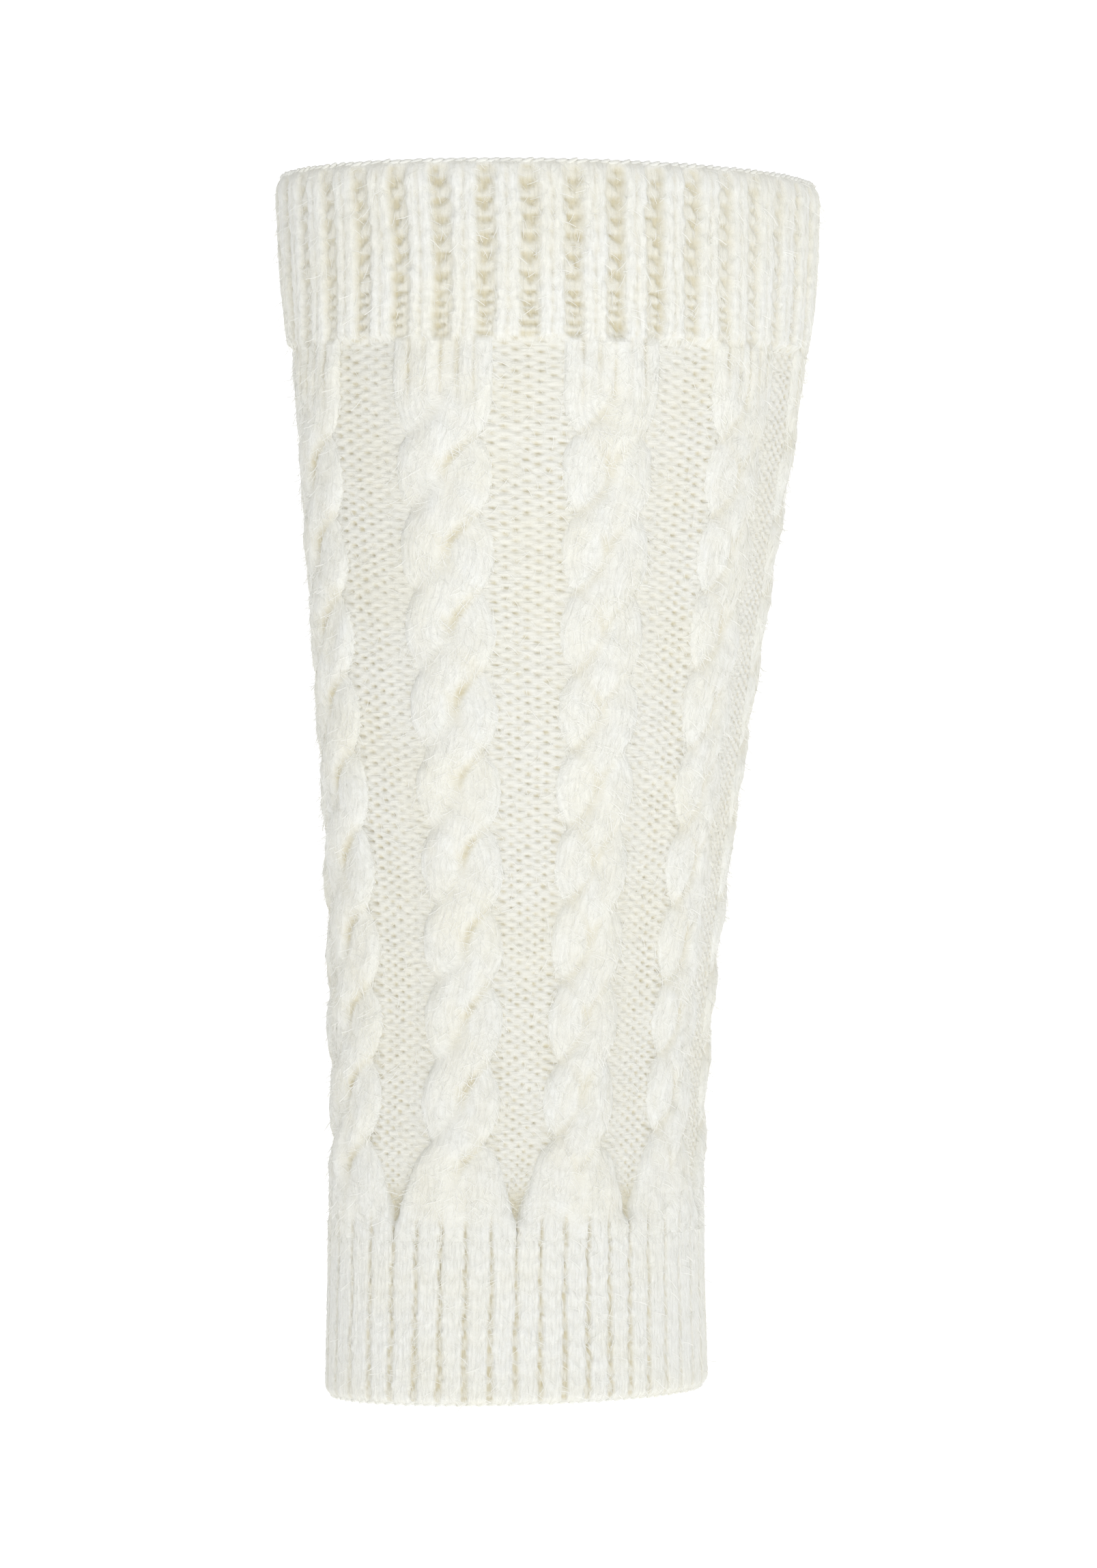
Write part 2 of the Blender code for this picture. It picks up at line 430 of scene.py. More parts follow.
class Form:
    """The tube that the knit lies on: points over its crests, and the way out at each."""

    def __init__(self):
        self.drops = np.arange(0.0, LENGTH + 2 * FORM_STEP, FORM_STEP)
        rows = [self.row(drop) for drop in self.drops]
        self.places = np.array([row[0] for row in rows])
        self.outward = np.array([row[1] for row in rows])
        self.rounds = np.array([row[2] for row in rows])

    def row(self, drop):
        angle = np.linspace(-math.pi / 2, 1.5 * math.pi, OUTLINE_SAMPLES + 1)
        width = section(drop, "half_width")
        lean = section(drop, "lean")
        depth = math.sqrt(section(drop, "half_depth") ** 2 - lean**2)
        x = section(drop, "shift") + width * np.cos(angle)
        y = depth * np.sin(angle) + lean * np.cos(angle)
        along_x = -width * np.sin(angle)
        along_y = depth * np.cos(angle) - lean * np.sin(angle)
        length = np.hypot(along_x, along_y)
        way = np.concatenate(([0.0], np.cumsum((length[1:] + length[:-1]) / 2)))
        turned = np.linspace(0.0, 1.0, ROUND_SAMPLES + 1) + section(drop, "turn")
        pull = section(drop, "spread") / (2 * math.pi)
        spread = (turned + pull * np.sin(2 * math.pi * turned)) % 1.0
        whole = way / way[-1]
        places = np.stack([np.interp(spread, whole, x), np.interp(spread, whole, y)], axis=-1)
        outward = np.stack(
            [np.interp(spread, whole, along_y / length), np.interp(spread, whole, -along_x / length)],
            axis=-1,
        )
        return places, outward, way[-1] * (angle[1] - angle[0])

    def round_at(self, drops):
        return np.interp(drops, self.drops, self.rounds)

    def at(self, drops, shares, depths):
        """Points in metres at these drops and shares, sunk by these depths."""
        drops, shares, depths = np.broadcast_arrays(drops, shares, depths)
        row = np.clip(drops / FORM_STEP, 0.0, len(self.drops) - 1.001)
        place = (shares % 1.0) * ROUND_SAMPLES
        upper = row.astype(int)
        left = np.minimum(place.astype(int), ROUND_SAMPLES - 1)
        down = (row - upper)[..., None]
        right = (place - left)[..., None]

        def between(grid):
            above = grid[upper, left] * (1 - right) + grid[upper, left + 1] * right
            below = grid[upper + 1, left] * (1 - right) + grid[upper + 1, left + 1] * right
            return above * (1 - down) + below * down

        flat = between(self.places) - depths[..., None] * between(self.outward)
        return np.concatenate([flat, (TOP_EDGE - drops)[..., None]], axis=-1) * MM


FORM = Form()


def smooth_step(low, high, value):
    t = np.clip((value - low) / (high - low), 0.0, 1.0)
    return t * t * (3 - 2 * t)


def mix(first, second, share):
    return first + (second - first) * share


class Relief:
    """The knit's depths and painted shade, worked out from a place on the tube."""

    # Sizes of the slow swells, the lumps, the fine jitter and the sway of the knit
    UNEVEN_SIZES = (14.0, 5.0, 2.2, 9.0)

    # Where the body starts to swell out and is full, measured down from each seam
    SWELL_TOP = (-2.0, 8.0)
    SWELL_BOTTOM = (4.0, -14.0)
    SWELL_MEAN = 0.55
    SWELL_LEAN = 0.45

    # A purl bump and the dot between bumps, in half wales across and courses down
    BUMP_HALF_WIDTH = 0.92
    BUMP_HALF_HEIGHT = 0.46
    BUMP_BOW = 0.19
    DOT_WIDTH = 0.26
    DOT_HEIGHT = 0.15
    FULL_HALF_WALE = 1.7
    LEAST_FULLNESS = 0.15

    # The panel's shares of a repeat at which it is closed by the cables, and open
    CLOSED_PANEL = 0.10
    OPEN_PANEL = 0.30

    # The two strands of a cable, across in halves of its width
    STRAND_SWING = 0.44
    STRAND_HALF = 0.60
    STRAND_POWER = 2.6
    STRAND_EDGE = 0.56
    FLANK_FALL = 14.0
    FLANK_DROP = 2.0
    HALF_CABLE_WALES = 3
    WALE_GROOVE = 0.12

    # The straight wales above the first crossing and below the last one, and where they begin
    STRAIGHT_TURN = (0.8, 0.2)
    STRAIGHT_EDGE = 1.04
    STRAIGHT_POWER = 4.5

    # The pit where the strands meet: its place and length in crossings, and its width in height
    PIT_TURN = 0.33
    PIT_LENGTH = 0.15
    PIT_SPREAD = 1.3
    GRAIN_SPREAD = 1.5
    CREASE_FILL = 0.8

    # The ribs' legs across, the slopes of the gutters, and the bars of their ladders in courses
    LEG_MIDDLE = 0.52
    LEG_POWER = 2.4
    LEG_SLANT = 0.55
    GUTTER_FLOOR = 0.72
    GUTTER_BRIM = 1.22
    PARTING_HALF = 0.15
    HOLE_LENGTH = 0.74
    HOLE_SHIFT = 0.55
    HOLE_HALF = 1.05
    BAR_START = 0.78
    FAR_STRIP = 0.8
    LEG_FALLS = (0.2, 0.6)
    COURSE_NOTCH = 0.24
    BAR_NOTCH = 0.2

    # Unevenness of the courses and wales in stitches, and of the surface in height
    COURSE_SWAY = 0.16
    COURSE_JITTER = 0.05
    WALE_JITTER = 0.1
    PANEL_SWELL = 0.12
    CABLE_LUMPS = 0.18
    CABLE_JITTER = 0.10
    RIB_LUMPS = 0.10
    RIB_JITTER = 0.05

    # Rises and falls over the width of a panel and of a cable, and depths of the bound edges
    SIDE_WALES = (1.6, 3.2)
    SIDE_RISE = 0.5
    CABLE_CROWN = 0.25
    WALE_GROOVE_DEPTH = 0.4
    TOP_BIND_DEPTH = 0.35
    BOTTOM_BIND_DEPTH = 0.5

    # Painted shade in creases, holes, gutters and recesses, from 0 on pale yarn to 1 in the painted shade
    # colour of the hollows
    PANEL_PAINTED_SHADE = 0.16
    VALLEY_PAINTED_SHADE = 0.08
    DOT_PAINTED_SHADE = 0.9
    CLOSED_PAINTED_SHADE = 0.8
    CABLE_PAINTED_SHADE = 0.09
    CABLE_PAINTED_SHADE_DRIFT = 0.07
    PIT_PAINTED_SHADE = 1.1
    GROOVE_PAINTED_SHADE = 0.4
    STITCH_PAINTED_SHADE = 0.2
    GUTTER_PAINTED_SHADE = 0.34
    HOLE_PAINTED_SHADE = 0.6
    PARTING_PAINTED_SHADE = 0.24
    LOW_RIBS_PAINTED_SHADE = 1.1
    BIND_PAINTED_SHADE = 0.1

    def __init__(self, knit, seed):
        self.front_rise = knit.front_rise / MM
        self.back_rise = knit.back_rise / MM
        self.crease_depth = knit.crease_depth / MM
        self.purl_relief = knit.purl_relief / MM
        self.gutter_depth = knit.gutter_depth / MM
        self.groove_depth = knit.groove_depth / MM
        self.middle_rise = (self.front_rise + self.back_rise) / 2
        self.swing_rise = (self.front_rise - self.back_rise) / 2
        self.slow, self.lumps, self.fine, self.sway = (
            Unevenness(seed + step, size) for step, size in enumerate(self.UNEVEN_SIZES)
        )

    def swell(self, drop, share):
        """How far the body stands out over the solid's crests, most on the left."""
        start, full = self.SWELL_TOP
        ends = smooth_step(TOP_CUFF_END + start, TOP_CUFF_END + full, drop)
        start, full = self.SWELL_BOTTOM
        ends = ends * smooth_step(BOTTOM_CUFF_START + start, BOTTOM_CUFF_START + full, drop)
        return ends * (self.SWELL_MEAN - self.SWELL_LEAN * np.sin(2 * math.pi * share))

    def panel_share(self, drop):
        drops = column(PANELS, PANEL_COLUMNS, "drop")
        return np.interp(drop, drops, column(PANELS, PANEL_COLUMNS, "share"))

    def purl_bumps(self, across, courses):
        """Bumps of purl stitches, from 0 to 1 on a crest, and the dots between them, up to 1.

        Across counts half wales. Every second half wale stands half a course lower, and its bumps
        bow the other way.
        """
        highest = np.zeros_like(across)
        dots = np.zeros_like(across)
        nearest = np.round(across)
        for side in (-1, 0, 1):
            here = nearest + side
            reach = (across - here) / self.BUMP_HALF_WIDTH
            odd = here % 2
            bow = self.BUMP_BOW * (1 - 2 * odd) * reach**2
            place = courses - 0.5 * odd - bow
            rise = (place - np.round(place)) / self.BUMP_HALF_HEIGHT
            dome = np.sqrt(np.maximum(0.0, 1 - reach**2 - rise**2))
            highest = np.maximum(highest, dome)
            place = courses - 0.5 * odd - 0.5
            rise = (place - np.round(place)) / self.DOT_HEIGHT
            dots = np.maximum(dots, np.exp(-(((across - here) / self.DOT_WIDTH) ** 2) - rise**2))
        return highest, dots

    def panel(self, drop, share):
        """Depth, painted shade and grain of the purl knit."""
        repeat = share * REPEATS
        off = repeat - np.round(repeat)
        width = self.panel_share(drop)
        across = off / (width / 2) * (HALF_WALES / 2)
        wale = width * FORM.round_at(drop) / REPEATS / HALF_WALES
        fullness = np.clip(wale / self.FULL_HALF_WALE, self.LEAST_FULLNESS, 1.0)
        lumps = self.lumps.at(drop, share)
        fine = self.fine.at(drop, share)
        sway = self.sway.at(drop, share)
        courses = drop / COURSE + self.COURSE_SWAY * sway + self.COURSE_JITTER * fine
        bumps, dots = self.purl_bumps(across + self.WALE_JITTER * lumps, courses)
        strength = np.clip(1 + 0.3 * lumps + 0.35 * fine, 0.3, 1.6)
        # The painted shade of the dots is weaker on the half of each side panel towards the front
        outer_side = across * np.sin(2 * math.pi * np.round(repeat) / REPEATS)
        strength = strength * mix(1.0, 0.4, smooth_step(0.5, -1.2, outer_side))
        relief = 0.8 * bumps - 0.3 * dots * strength
        beside = self.SIDE_RISE * smooth_step(*self.SIDE_WALES, np.abs(across))
        depth = GROUND_DEPTH - beside - self.purl_relief * relief * fullness
        depth = depth - self.swell(drop, share) + self.PANEL_SWELL * self.slow.at(drop, share)
        # Painted shade: in the dots between bumps, in the valleys, over the whole recessed panel, and
        # darker where the cables close the panel
        painted_shade = self.DOT_PAINTED_SHADE * dots * strength + self.VALLEY_PAINTED_SHADE * (1 - bumps) + self.PANEL_PAINTED_SHADE
        closing = 1 - smooth_step(self.CLOSED_PANEL, self.OPEN_PANEL, width)
        painted_shade = np.clip(np.maximum(painted_shade, closing * self.CLOSED_PAINTED_SHADE), 0.0, 1.0)
        depth, painted_shade = self.over_low_ribs(drop, share, depth, painted_shade)
        return depth + closing * 0.15, painted_shade, drop, share * MEAN_ROUND

    def two_strands(self, across, turns, half_cable):
        """Height of each strand, and how far the place is from its middle, in halves of its width."""
        swing = np.sin(math.pi * turns)
        lift = np.cos(math.pi * turns)
        slope = math.pi * self.STRAND_SWING * lift * half_cable / CROSSING_PITCH
        half = self.STRAND_HALF * np.sqrt(1 + slope**2)
        heights = []
        reaches = []
        for side in (1, -1):
            reach = np.abs((across + side * self.STRAND_SWING * swing) / half)
            dome = (1 - np.minimum(reach, 1.0) ** self.STRAND_POWER) ** self.STRAND_EDGE
            fall = np.minimum((np.maximum(reach, 1.0) - 1.0) * self.FLANK_FALL, self.FLANK_DROP)
            heights.append((self.middle_rise + side * self.swing_rise * lift) * dome - fall)
            reaches.append(reach)
        return heights, reaches

    def straight_share(self, counted):
        """From 0 where the strands cross to 1 above the first crossing and below the last."""
        start, full = self.STRAIGHT_TURN
        above = 1 - smooth_step(-start, -full, counted)
        return np.maximum(above, smooth_step(CROSSINGS - start, CROSSINGS - full, counted))

    def straight_level(self, across):
        """Height of the straight wales, which falls away at the cable's sides."""
        out = np.minimum(np.abs(across) / self.STRAIGHT_EDGE, 1.0)
        level = self.middle_rise * (1 - out**self.STRAIGHT_POWER) ** (1 / self.STRAIGHT_POWER)
        return level - self.FLANK_DROP * smooth_step(self.STRAIGHT_EDGE, CABLE_REACH, np.abs(across))

    def pits(self, ahead, furthest, open_side, turns, counted):
        """Where the strands meet at one height, and how much of a pit there is at that place."""
        edge = smooth_step(0.45, 0.85, furthest)
        # The pit's painted shade falls to 0.3 on the half of a cable away from the front
        meeting = np.exp(-((ahead / self.PIT_SPREAD) ** 2)) * edge * mix(0.3, 1.0, open_side)
        off_pit = (turns - self.PIT_TURN + 0.5) % 1.0 - 0.5
        overlap = np.exp(-((off_pit / self.PIT_LENGTH) ** 2))
        crossing = smooth_step(-0.2, 0.1, counted) * smooth_step(CROSSINGS - 0.3, CROSSINGS - 0.8, counted)
        return meeting, 0.3 + 0.7 * overlap * crossing

    def strands(self, drop, share):
        """Depth, painted shade and grain of the rope cable, which goes out of sight beyond its edges."""
        middle = (share * REPEATS) % 1.0 - 0.5
        half_share = (1 - self.panel_share(drop)) / 2
        half_cable = half_share * FORM.round_at(drop) / REPEATS
        across = middle / half_share
        counted = (drop - FIRST_CROSSING) / CROSSING_PITCH
        turns = np.clip(counted + 0.03 * self.slow.at(drop, share), -0.5, CROSSINGS - 0.5)
        heights, reaches = self.two_strands(across, turns, half_cable)
        ahead = heights[0] - heights[1]
        between = smooth_step(1.0, 0.7, np.abs(across))
        fill = np.maximum(1 - np.abs(ahead) / self.CREASE_FILL, 0.0)
        top = np.maximum(heights[0], heights[1]) + 0.25 * self.CREASE_FILL * fill**2 * between
        straight = self.straight_share(counted)
        top = mix(top, self.straight_level(across), straight)
        # The pit, its depth and its painted shade, is fuller on the half of each cable towards the front
        facing = -across * np.sin(2 * math.pi * (share - middle / REPEATS)) * 5
        open_side = smooth_step(-0.35, 0.35, facing)
        inside = smooth_step(1.0, 0.82, np.abs(across))
        meeting, overlap = self.pits(ahead, np.maximum(*reaches), open_side, turns, counted)
        pit = meeting * inside * overlap * (1 - straight)
        follow = 0.5 * self.STRAND_SWING * np.sin(math.pi * turns) * np.tanh(ahead / self.GRAIN_SPREAD)
        whole_wale = (across + 1) * self.HALF_CABLE_WALES
        off_wale = np.abs(whole_wale - np.round(whole_wale))
        legs = np.abs(np.sin(math.pi * (drop / COURSE + 0.7 * off_wale)))
        stitch = (1 - legs) * mix(0.12, 0.22, straight)
        seen = np.minimum(np.abs(across), 1.0)
        fanned = straight * smooth_step(0.5, 0.0, counted)
        lumps = self.lumps.at(drop, share)
        groove = np.exp(-((off_wale / self.WALE_GROOVE) ** 2)) * between * fanned
        groove = groove * (1 + 0.4 * lumps)
        depth = GROUND_DEPTH - top + self.crease_depth * pit + groove * self.WALE_GROOVE_DEPTH + stitch
        depth = depth - self.swell(drop, share) - self.CABLE_CROWN * (1 - seen**2)
        depth = depth + self.CABLE_LUMPS * lumps + self.CABLE_JITTER * self.fine.at(drop, share)
        # Painted shade: in the pits where the strands cross, in the grooves and between stitches, over the
        # whole cable with a random drift, and along the cable's edges by the panels
        painted_shade = self.PIT_PAINTED_SHADE * pit + self.GROOVE_PAINTED_SHADE * groove + self.STITCH_PAINTED_SHADE * stitch
        painted_shade = painted_shade + between * (self.CABLE_PAINTED_SHADE + self.CABLE_PAINTED_SHADE_DRIFT * lumps)
        painted_shade = painted_shade + 0.3 * smooth_step(0.9, 0.2, top) * (1 - inside)
        depth, painted_shade = self.over_low_ribs(drop, share, depth, np.clip(painted_shade, 0.0, 1.0))
        return depth, painted_shade, (across + follow) * half_cable, drop

    def body(self, drop, share):
        """What shows of the body: the cables where they stand over the panels."""
        panel = self.panel(drop, share)
        cable = self.strands(drop, share)
        covered = cable[0] < panel[0]
        return tuple(np.where(covered, top, ground) for top, ground in zip(cable, panel))

    def ribs(self, drop, share, ribs, courses, gutter_half, floor, bar, scallop, parting):
        """Depth, painted shade and grain of ribs with a ladder of bars in the gutters between them."""
        fine = self.fine.at(drop, share)
        place = share * ribs + 0.025 * self.sway.at(drop, share) + 0.02 * fine
        signed = place - np.round(place)
        off = np.abs(signed)
        far_side = np.clip(np.sin(2 * math.pi * share) * 2.2, -1.0, 1.0)
        courses = courses + 0.08 * self.sway.at(drop * 1.7, share)
        gutter_half = gutter_half * (1 - scallop * np.cos(2 * math.pi * (courses - 0.25)))
        gutter = 1 - smooth_step(gutter_half * self.GUTTER_FLOOR, gutter_half * self.GUTTER_BRIM, off)
        beside = np.clip((0.5 - off) / (0.5 - gutter_half), 0.0, 1.0)
        leg = np.abs(beside - self.LEG_MIDDLE) / self.LEG_MIDDLE
        leg_fall = 1 - np.sqrt(np.maximum(0.0, 1 - np.minimum(leg, 1.0) ** self.LEG_POWER))
        stitch = np.abs(np.sin(math.pi * (courses + self.LEG_SLANT * beside)))
        rib_depth = mix(*self.LEG_FALLS, parting) * leg_fall + self.COURSE_NOTCH * (1 - stitch**0.7)
        within = courses % 1.0
        reach = np.abs(signed / gutter_half - self.HOLE_SHIFT * far_side) / self.HOLE_HALF
        uneven = 0.16 * self.fine.at(drop * 1.3, share)
        hole = smooth_step(-0.14, 0.34, 1.02 - within / self.HOLE_LENGTH - 0.72 * reach + uneven)
        hole = hole * smooth_step(0.0, 0.15, within)
        # A painted shadow strip down the side of each gutter away from the front, on the sides of the cuff
        off_strip = np.abs(signed / gutter_half - self.FAR_STRIP * far_side)
        strip = np.abs(far_side) * smooth_step(0.42, 0.12, off_strip)
        hole = np.maximum(hole, 0.55 * strip)
        notch = self.BAR_NOTCH * smooth_step(self.BAR_START, 1.0, within)
        ladder = bar + (floor - bar) * hole + notch
        depth = mix(rib_depth, ladder, gutter)
        depth = depth + self.RIB_LUMPS * self.lumps.at(drop, share) + self.RIB_JITTER * fine
        middle = np.exp(-((beside / self.PARTING_HALF) ** 2))
        # Painted shade in the gutters and their holes, in the middle parting of each rib, and between
        # stitches
        ladder_painted_shade = self.GUTTER_PAINTED_SHADE + self.HOLE_PAINTED_SHADE * hole * (1 + uneven)
        parting_painted_shade = self.PARTING_PAINTED_SHADE + self.STITCH_PAINTED_SHADE * (1 - stitch)
        painted_shade = gutter * ladder_painted_shade + parting * middle * parting_painted_shade
        painted_shade = painted_shade + self.VALLEY_PAINTED_SHADE * (1 - stitch)
        return depth, np.clip(painted_shade, 0.0, 1.0), share * MEAN_ROUND, drop

    def inside(self, drop, share, ribs):
        """Rise and fall of the inner side, where the gutters of the outside stand up as ribs."""
        waves = np.cos(2 * math.pi * share * ribs)
        return 0.45 * waves + 0.12 * self.lumps.at(drop, share)

    def top_lining(self, drop, share):
        return self.inside(drop, share, TOP_RIBS)

    def body_lining(self, drop, share):
        return self.inside(drop, share, REPEATS * 4) * 0.6

    def bottom_lining(self, drop, share):
        return self.inside(drop, share, BOTTOM_RIBS) * 0.8

    def top_cuff(self, drop, share):
        tall = np.minimum(drop, TALL_COURSES_END) / TALL_COURSE
        courses = tall + np.maximum(drop - TALL_COURSES_END, 0.0) / COURSE
        ladder = {"gutter_half": 0.225, "floor": self.gutter_depth, "bar": 1.5}
        depth, painted_shade, across, along = self.ribs(
            drop, share, TOP_RIBS, courses, **ladder, scallop=0.08, parting=1.0
        )
        # Relief and painted shade are both weaker on the sides of the cuff than at the front and back
        aside = smooth_step(0.4, 0.9, np.abs(np.sin(2 * math.pi * share)))
        reach = smooth_step(TOP_CUFF_END - SEAM_BLEND, TOP_CUFF_END - END_ROW, drop)
        bound = 1 - smooth_step(*TOP_BIND, drop)
        body = self.body(drop, share)
        depth = mix(depth * mix(1.0, 0.65, aside), body[0], reach)
        painted_shade = mix(painted_shade * mix(1.0, 0.55, aside), body[1], reach)
        depth = mix(depth, self.TOP_BIND_DEPTH, bound)
        return depth, mix(painted_shade, self.BIND_PAINTED_SHADE, bound), across, along

    def low_ribs(self, drop, share):
        courses = drop / BOTTOM_COURSE
        wide = mix(0.075, 0.14, smooth_step(BOTTOM_CUFF_START, LENGTH, drop))
        ladder = {"gutter_half": wide, "floor": self.groove_depth, "bar": 0.65}
        depth, painted_shade, across, along = self.ribs(
            drop, share, BOTTOM_RIBS, courses, **ladder, scallop=0.25, parting=0.0
        )
        # Relief and painted shade are both fainter on the sides of the cuff than at the front and back
        faint = mix(0.4, 1.0, smooth_step(-0.6, 0.6, np.cos(4 * math.pi * share)))
        return depth * faint, np.clip(painted_shade * faint * self.LOW_RIBS_PAINTED_SHADE, 0.0, 1.0), across, along

    def over_low_ribs(self, drop, share, depth, painted_shade):
        """The body's depth and painted shade, which turn into the low ribs a little above the seam."""
        low_depth, low_painted_shade, _, _ = self.low_ribs(drop, share)
        start = LOW_RIBS_START + 0.5 * self.lumps.at(drop, share)
        reach = smooth_step(start, start + LOW_RIBS_BLEND, drop)
        return mix(depth, low_depth, reach), mix(painted_shade, low_painted_shade, reach)

    def bottom_cuff(self, drop, share):
        depth, painted_shade, across, along = self.low_ribs(drop, share)
        start, full = BOTTOM_BIND
        bound = smooth_step(LENGTH - start, LENGTH - full, drop)
        depth = mix(depth, self.BOTTOM_BIND_DEPTH, bound)
        return depth, mix(painted_shade, self.BIND_PAINTED_SHADE, bound), across, along


def new_piece(name, points, faces, facts, material, closed=False):
    """A mesh object at the origin, with its painted shade, nap and grain kept on its points.

    Level faces, which end a wall, stay flat, so that the knit beside them isn't shaded as bent.
    """
    data = bpy.data.meshes.new(name)
    data.from_pydata(points.reshape(-1, 3).tolist(), [], faces)
    # The hollow attribute carries the painted shade to the material
    for title in ("hollow", "nap", "lining"):
        kept = data.attributes.new(title, "FLOAT", "POINT")
        kept.data.foreach_set("value", np.asarray(facts[title], dtype=np.float32).ravel())
    corners = np.empty(len(data.loops), dtype=np.int32)
    data.loops.foreach_get("vertex_index", corners)
    across = facts["across"].ravel()[corners]
    if closed:
        sides = across.reshape(-1, 4)
        folded = sides.max(axis=1, keepdims=True) - sides > MEAN_ROUND / 2
        across = (sides + folded * MEAN_ROUND).ravel()
    grain = np.stack([across, facts["along"].ravel()[corners]], axis=-1) * MM
    uv_map = data.uv_layers.new(name="grain")
    uv_map.data.foreach_set("uv", grain.astype(np.float32).ravel())
    heights = points.reshape(-1, 3)[:, 2]
    level = [np.ptp(heights[face]) < FLAT_FACE for face in faces]
    data.polygons.foreach_set("use_smooth", ~np.array(level))
    data.materials.append(material)
    piece = bpy.data.objects.new(name, data)
    bpy.context.scene.collection.objects.link(piece)
    return piece


def place_piece(piece, node):
    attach(piece, "root")
    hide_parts(node)
    return piece


def grid_faces(rows, columns, start=0, closed_rows=False, closed_columns=False):
    """Quads over a grid of points listed row by row, facing out where rows go down."""
    row_ends = rows if closed_rows else rows - 1
    column_ends = columns if closed_columns else columns - 1
    row, place = np.meshgrid(np.arange(row_ends), np.arange(column_ends), indexing="ij")
    below = (row + 1) % rows
    right = (place + 1) % columns
    corners = np.stack(
        [
            row * columns + place,
            below * columns + place,
            below * columns + right,
            row * columns + right,
        ],
        axis=-1,
    )
    return (corners.reshape(-1, 4) + start).tolist()


def round_shares(count):
    """Places all round, which start and end at the back."""
    return 0.5 + np.arange(count) / count


def sleeve(name, node, rows, columns, outer, lining):
    """A closed wall all round, with the relief's methods for its outside and its inside.

    Each row gives its drop, how far it is sunk, how much of the outer relief it has, how much nap,
    and how much of the inner relief. The rows go down the outside and up the inside.
    """
    drops, sunk, carved, nap, lined = (np.array(values)[:, None] for values in zip(*rows))
    shares = round_shares(columns)[None, :]
    relief = new_relief()
    depth, painted_shade, across, along = outer(relief, drops, shares)
    inner_rise = lining(relief, drops, shares)
    points = FORM.at(drops, shares, sunk + carved * depth + lined * inner_rise)
    facts = {
        "lining": np.broadcast_to(lined, depth.shape),
        # Painted shade: the outside's, and on the inside an overall painted shade that is deeper between
        # the inner ribs
        "hollow": painted_shade * np.abs(carved) + lined * np.clip(0.3 - 0.4 * inner_rise, 0.0, 0.5),
        "nap": nap * (1 - 0.8 * painted_shade),
        "across": np.broadcast_to(across, depth.shape),
        "along": np.broadcast_to(along, depth.shape),
    }
    faces = grid_faces(len(rows), columns, closed_rows=True, closed_columns=True)
    material = knit_material(settings()[1])
    return place_piece(new_piece(name, points, faces, facts, material, closed=True), node)


def rim_rows(edge, inward, reach, turn, thickness):
    """Rows of a free edge, from the outside, which turns in over a long way, to the inside."""
    outer = np.linspace(0.0, math.pi / 2, RIM_OUTER_ROWS + 1)[1:]
    inner = np.linspace(math.pi / 2, math.pi, RIM_INNER_ROWS + 2)[1:-1]
    rows = []
    for angle in np.concatenate([outer, inner]):
        outside = angle <= math.pi / 2
        drop = edge + inward * (reach if outside else INNER_EDGE_REACH) * (1 - math.sin(angle))
        sunk = turn * (1 - math.cos(angle)) if outside else turn - (thickness - turn) * math.cos(angle)
        carved = 0.5 * (1 + math.cos(angle))
        rows.append((drop, sunk, carved, EDGE_NAP, 1 - carved))
    return rows


def strip_stack(name, node, material, strips):
    """Several closed strips in one piece; each has its drops, shares, depths and facts."""
    points = []
    faces = []
    facts = {"hollow": [], "nap": [], "lining": [], "across": [], "along": []}
    start = 0
    for drops, shares, depths, kept in strips:
        rows, columns = shares.shape
        ring = columns + BACK_COLUMNS
        back_shares = np.linspace(shares[:, -1], shares[:, 0], BACK_COLUMNS + 2, axis=1)[:, 1:-1]
        loop_shares = np.concatenate([shares, back_shares], axis=1)
        loop_depths = np.concatenate([depths, np.full(back_shares.shape, HIDDEN_DEPTH)], axis=1)
        points.append(FORM.at(drops, loop_shares, loop_depths).reshape(-1, 3))
        faces += grid_faces(rows, ring, start=start, closed_columns=True)
        faces.append(list(range(start + ring - 1, start - 1, -1)))
        faces.append(list(range(start + (rows - 1) * ring, start + rows * ring)))
        hidden = np.zeros(back_shares.shape)
        kept["lining"] = np.zeros(shares.shape)
        for title, values in kept.items():
            facts[title].append(np.concatenate([values, hidden], axis=1).ravel())
        start += rows * ring
    gathered = {title: np.concatenate(values) for title, values in facts.items()}
    return place_piece(new_piece(name, np.concatenate(points), faces, gathered, material), node)


def strip_drops(rows):
    """Drops down a strip, with a narrow row at each end that keeps the end's shading to itself."""
    even = np.linspace(TOP_CUFF_END, BOTTOM_CUFF_START, rows)
    ends = [even[0] + END_ROW, even[-1] - END_ROW]
    return np.sort(np.concatenate([even, ends]))[:, None]


def panel_strip(relief, repeat):
    """One purl panel, which runs on a little way under the cables beside it."""
    drops = strip_drops(int((BOTTOM_CUFF_START - TOP_CUFF_END) / COURSE * PANEL_ROWS_A_COURSE) + 1)
    half = relief.panel_share(drops) / 2
    margin = PANEL_MARGIN * REPEATS / FORM.round_at(drops)
    inner = np.linspace(-1.0, 1.0, HALF_WALES * PANEL_COLUMNS_A_HALF_WALE + 1)[None, :] * half
    steps = np.linspace(0.0, 1.0, PANEL_MARGIN_COLUMNS + 1)[None, 1:] * margin
    offsets = np.concatenate([-half - steps[:, ::-1], inner, half + steps], axis=1)
    shares = (repeat + offsets) / REPEATS
    depth, painted_shade, across, along = relief.panel(drops, shares)
    depth[:, [0, -1]] = EDGE_DEPTH
    kept = {
        "hollow": painted_shade,
        "nap": 0.22 * (1 - painted_shade),
        "across": np.broadcast_to(across, depth.shape),
        "along": np.broadcast_to(along, depth.shape),
    }
    return drops, shares, depth, kept


